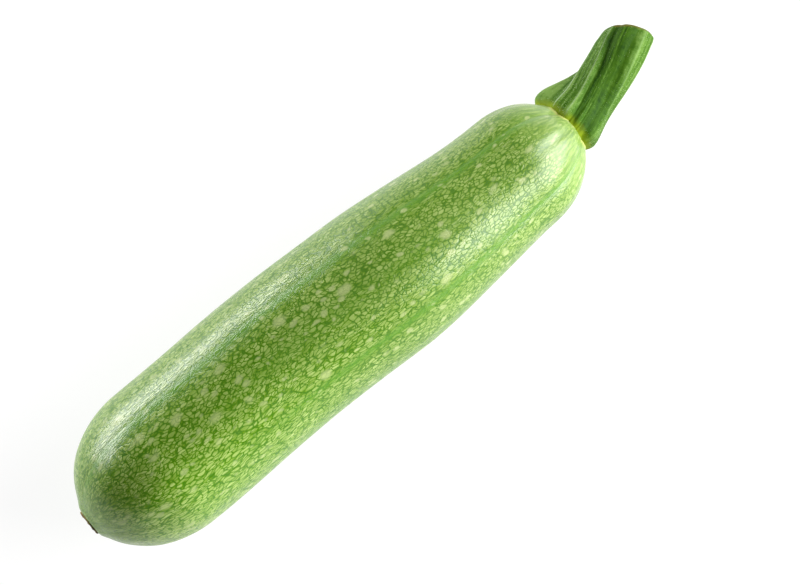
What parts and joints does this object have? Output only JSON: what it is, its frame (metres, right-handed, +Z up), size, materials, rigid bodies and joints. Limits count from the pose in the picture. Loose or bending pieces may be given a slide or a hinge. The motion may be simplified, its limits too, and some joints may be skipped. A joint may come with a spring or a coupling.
{
  "type": "courgette",
  "caption": "Pale green speckled courgette lying on its side, with a ridged cut stem and a corky blossom scar.",
  "frame": {"origin": "middle of the part's box, on the surface that it lies on", "axes": "+X along the fruit from its blossom end to its stem, +Y to the side that the belly bows to, +Z up"},
  "size_m": [0.2432, 0.052, 0.0501],
  "materials": {
    "skin": "waxy vegetable skin, a fine dark green net round pale green cells, with darker bands along the grooves",
    "stem_skin": "ridged green stem, matte, with pale streaks and short bristly hairs",
    "cork": "dry tan cork with a darker brown rim"
  },
  "bodies": {
    "root": {"fruit": "skin", "stem": "stem_skin", "blossom_scar": "cork"}
  },
  "joints": []
}
